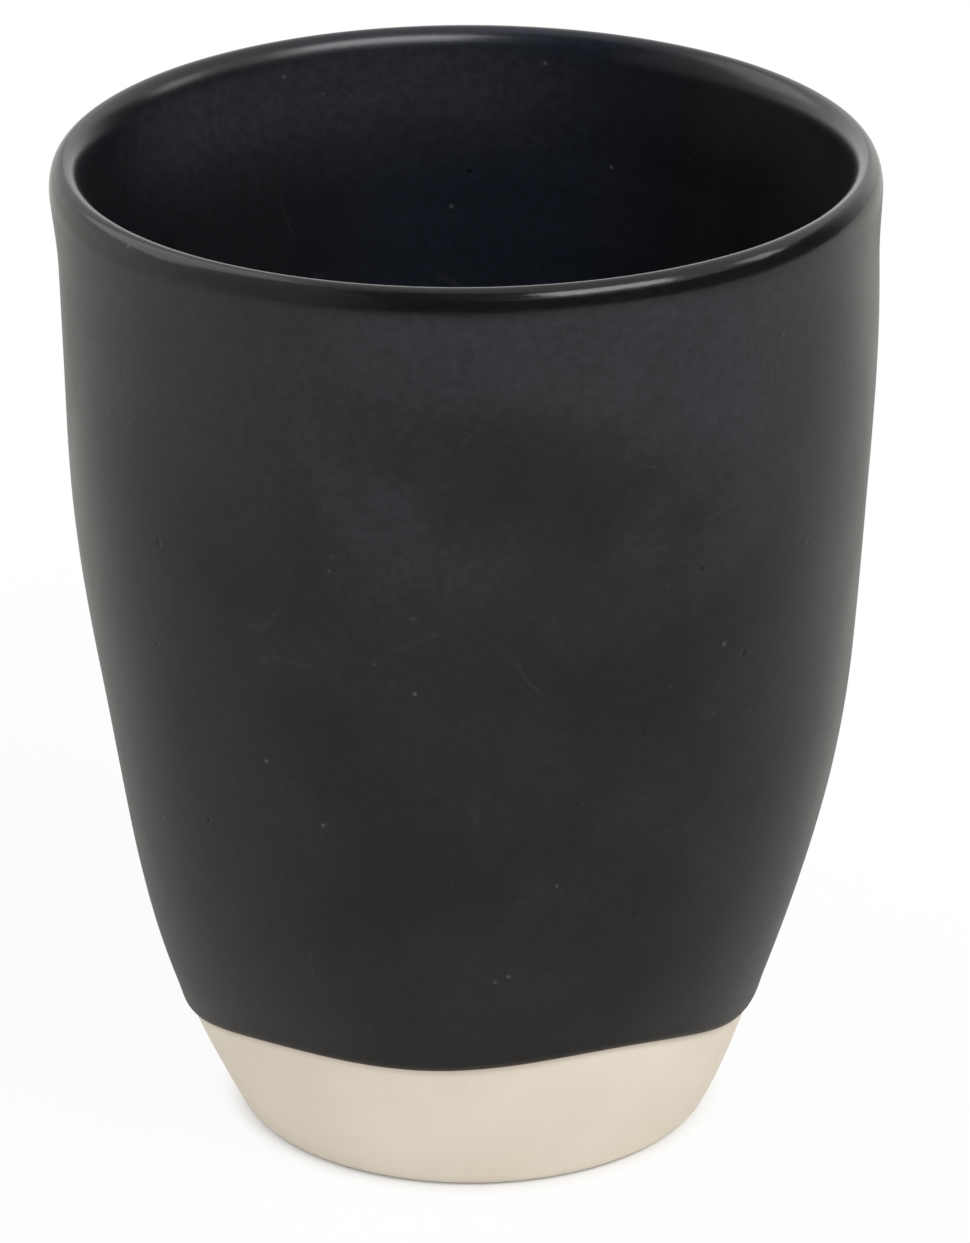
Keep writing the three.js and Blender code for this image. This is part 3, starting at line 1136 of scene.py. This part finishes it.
def liner_material(colours):
    """The liner glaze: painted light below the rim at the back left, blue where it ran together, matt except
    at the rim.
    """
    glaze = Glaze("Black liner glaze", colours.liner_black, colours.liner_cloud, colours)
    glaze.cover(smooth(glaze.facing(RUN_SIDE), *RUN_FADES), colours.liner_run)
    # Painted light: a lighter band on the inside wall below the rim at the back left
    painted_light_side = smooth(glaze.facing(LINER_PAINTED_LIGHT_SIDE), *LINER_PAINTED_LIGHT_FADES)
    glaze.cover(glaze.band(*LINER_PAINTED_LIGHT_DEPTHS) * painted_light_side, colours.liner_bloom)
    glaze.set(ior=LINER_IOR, coat_weight=glaze.at_rim)
    glaze.set(coat_roughness=LINER_RIM_ROUGHNESS, coat_ior=LINER_RIM_COAT_IOR)
    return glaze.fire(LINER_ROUGHNESS, LINER_RIM_ROUGHNESS)


# The studio

def plain_object(name, data):
    """A new object in the scene."""
    made = bpy.data.objects.new(name, data)
    bpy.context.scene.collection.objects.link(made)
    return made


def rays(wiring):
    """Whether a ray comes from the camera, and whether it comes from a reflection or a clear body."""
    path = wiring.add("ShaderNodeLightPath").outputs
    mirrored = maths("MAXIMUM", Field(path["Is Glossy Ray"]), Field(path["Is Transmission Ray"]))
    return Field(path["Is Camera Ray"]), mirrored


def distance_from(wiring, place, point):
    """How far the place is from a fixed point."""
    node = wiring.add("ShaderNodeVectorMath", {0: place, 1: point}, operation="DISTANCE")
    return Field(node.outputs["Value"])


def shaded(wiring, place, patch):
    """How bright a patch of painted shade leaves the floor: darkest over half its reach, and unchanged
    beyond it.
    """
    off = distance_from(wiring, place, patch.middle)
    return between(patch.darkest, 1.0, smooth(off, patch.reach / 2, patch.reach))


def room_at(across, along, low, dark_side):
    """How bright reflections show the room in a direction, low being 1 at the height of the table."""
    towards = sin(dark_side) * across - cos(dark_side) * along
    horizon = low * smooth(towards, *HORIZON_FADES)
    left = smooth(across, *LEFT_FADES) * smooth(along, *LEFT_BACK_FADES)
    return (1 - HORIZON_DARKENS * horizon) * (1 - LEFT_DARKENS * left)


def floor_in_reflections(paint, place, near, dark_side):
    """How bright reflections show the floor, with patches of painted shade; far off it goes over into the
    room.
    """
    spot = paint.add("ShaderNodeSeparateXYZ", {0: place}).outputs
    off = distance_from(paint, place, (0, 0, 0))
    room = room_at(Field(spot["X"]) / off, Field(spot["Y"]) / off, 1.0, dark_side)
    bright = between(room, TABLE_GLOW, near)
    for patch in (BEFORE_THE_MUG, RIGHT_OF_THE_MUG, LEFT_OF_THE_MUG, UNDER_THE_CAMERA):
        bright = bright * shaded(paint, place, patch)
    return bright


def floor_material(studio):
    """Nearly white to the camera, apart from the mug's shadow, and a warm table to reflections."""
    paint = Finish("Pale floor")
    paint.set(base_color=(*studio.floor_colour, 1.0), roughness=FLOOR_ROUGHNESS, ior=FLOOR_IOR)
    by_camera, mirrored = rays(paint)
    place = object_place(paint)
    reach = studio.table_reach
    near = smooth(distance_from(paint, place, TABLE_MIDDLE), reach, reach / 2)
    mirrored_floor = floor_in_reflections(paint, place, near, studio.dark_side)
    strength = between(mirrored_floor, 1.0, by_camera)
    tone = paint.tint(by_camera, studio.table_colour, WHITE[:3])
    glow = paint.add("ShaderNodeEmission", {"Color": tone, "Strength": strength})
    contact = studio.contact_reach
    clear = smooth(distance_from(paint, place, (0, 0, 0)), contact * CONTACT_SHARPNESS, contact)
    reflected = mirrored * between(1.0, NEAR_FLOOR_MIRRORED, near)
    part = maths("MAXIMUM", by_camera * studio.floor_glow * clear, reflected)
    shown = paint.add("ShaderNodeMixShader", {0: part, 1: paint.shader.outputs[0], 2: glow.outputs[0]})
    plug(shown.outputs[0], paint.tree.nodes["Material Output"].inputs["Surface"])
    return paint.material


def pale_floor(studio):
    """A wide pale floor that keeps the mug's shadow."""
    half = studio.floor_width / 2
    corners = [(-half, -half, 0), (half, -half, 0), (half, half, 0), (-half, half, 0)]
    mesh = bpy.data.meshes.new("floor")
    mesh.from_pydata(corners, [], [(0, 1, 2, 3)])
    mesh.materials.append(floor_material(studio))
    plain_object("floor", mesh)


def sky_in_reflections(sky, dark_side):
    """How bright reflections show the room: dark low on one side, on the left and round the camera."""
    seen = sky.add("ShaderNodeTexCoord").outputs["Generated"]
    heading = sky.add("ShaderNodeSeparateXYZ", {0: seen}).outputs
    across, along, up = (Field(heading[axis]) for axis in "XYZ")
    camera_ward = sky.add("ShaderNodeVectorMath", {0: seen, 1: TOWARDS_THE_CAMERA}, operation="DOT_PRODUCT")
    camera = smooth(Field(camera_ward.outputs["Value"]), *CAMERA_FADES)
    return room_at(across, along, smooth(up, *HORIZON_HEIGHTS), dark_side) * (1 - CAMERA_DARKENS * camera)


def soft_world(studio):
    """An even light from all round, white where it is seen."""
    world = bpy.data.worlds.new("Soft world")
    bpy.context.scene.world = world
    world.use_nodes = True
    sky = Wiring(world.node_tree)
    by_camera, mirrored = rays(sky)
    strength = between(studio.ambient, sky_in_reflections(sky, studio.dark_side), mirrored)
    background = sky.tree.nodes["Background"]
    plug(between(strength, 1.0, by_camera), background.inputs["Strength"])
    plug(WHITE, background.inputs["Color"])


def set_light(light, aim):
    """Places a soft light, which looks at a point."""
    data = bpy.data.lights.new(light.name, "AREA")
    data.shape = "RECTANGLE"
    data.size = light.width
    data.size_y = light.height
    data.energy = light.power
    lamp = plain_object(light.name, data)
    lamp.location = light.place
    lamp.rotation_euler = (Vector(aim) - lamp.location).to_track_quat("-Z", "Y").to_euler()


def photo_camera(studio, rim_height):
    """The camera at the photograph's angle of view."""
    data = bpy.data.cameras.new("camera")
    data.lens = studio.lens
    data.clip_start = NEAREST_SEEN
    data.clip_end = 2 * studio.floor_width
    camera = plain_object("camera", data)
    back = Vector((0, -math.cos(studio.camera_rise), math.sin(studio.camera_rise)))
    place = Vector((0, 0, rim_height)) + back * studio.camera_distance
    look = Vector((studio.aim_side, 0, studio.aim_height)) - place
    level = look.to_track_quat("-Z", "Y").to_matrix().to_4x4()
    camera.matrix_world = Matrix.Translation(place) @ level @ Matrix.Rotation(studio.camera_roll, 4, "Z")
    bpy.context.scene.camera = camera


# Operators

class MUG_OT_throw_clay(bpy.types.Operator):
    """Throw the clay body and leave it bare"""

    bl_idname = "mug.throw_clay"
    bl_label = "Throw Clay Body"

    def execute(self, context):
        tree = clay_tree(clay_material(context.scene.mug_colours))
        piece = turned_piece("thrown_clay", tree, sizes_of(context.scene))
        stands_for(piece, "clay_body")
        return {"FINISHED"}


class MUG_OT_glaze_outside(bpy.types.Operator):
    """Dip the outside in satin black glaze, down to its wavy edge above the foot"""

    bl_idname = "mug.glaze_outside"
    bl_label = "Glaze Outside"

    def execute(self, context):
        tree = outside_glaze_tree(outside_material(context.scene.mug_colours))
        piece = turned_piece("outside_coat", tree, sizes_of(context.scene))
        stands_for(piece, "outside_glaze")
        return {"FINISHED"}


class MUG_OT_glaze_inside(bpy.types.Operator):
    """Pour the liner glaze over the inside and up to the crest of the rim"""

    bl_idname = "mug.glaze_inside"
    bl_label = "Glaze Inside"

    def execute(self, context):
        tree = liner_glaze_tree(liner_material(context.scene.mug_colours))
        piece = turned_piece("liner_coat", tree, sizes_of(context.scene))
        stands_for(piece, "liner_glaze")
        return {"FINISHED"}


class MUG_OT_set_studio(bpy.types.Operator):
    """Set the pale floor, the soft lights and the camera round the mug"""

    bl_idname = "mug.set_studio"
    bl_label = "Set Studio"

    def execute(self, context):
        studio = context.scene.mug_studio
        context.scene.view_settings.view_transform = "Standard"
        pale_floor(studio)
        soft_world(studio)
        rim_height = context.scene.mug_form.height
        for light in SOFT_LIGHTS:
            set_light(light, (0, 0, rim_height / 2))
        photo_camera(studio, rim_height)
        return {"FINISHED"}


class MUG_PT_sidebar(bpy.types.Panel):
    """The steps that make the mug"""

    bl_label = "Stoneware Mug"
    bl_space_type = "VIEW_3D"
    bl_region_type = "UI"
    bl_category = "Mug"

    def draw(self, context):
        for operator in OPERATORS:
            self.layout.operator(operator.bl_idname)


OPERATORS = (MUG_OT_throw_clay, MUG_OT_glaze_outside, MUG_OT_glaze_inside, MUG_OT_set_studio)
CLASSES = (*SETTINGS.values(), *OPERATORS, MUG_PT_sidebar)


def register():
    for cls in CLASSES:
        bpy.utils.register_class(cls)
    for key, group in SETTINGS.items():
        setattr(bpy.types.Scene, key, bpy.props.PointerProperty(type=group))


def unregister():
    for key in SETTINGS:
        delattr(bpy.types.Scene, key)
    for cls in reversed(CLASSES):
        bpy.utils.unregister_class(cls)


def main():
    """Makes the mug and its studio."""
    register()
    bpy.ops.mug.throw_clay()
    bpy.ops.mug.glaze_outside()
    bpy.ops.mug.glaze_inside()
    bpy.ops.mug.set_studio()


if __name__ == "__main__":
    main()
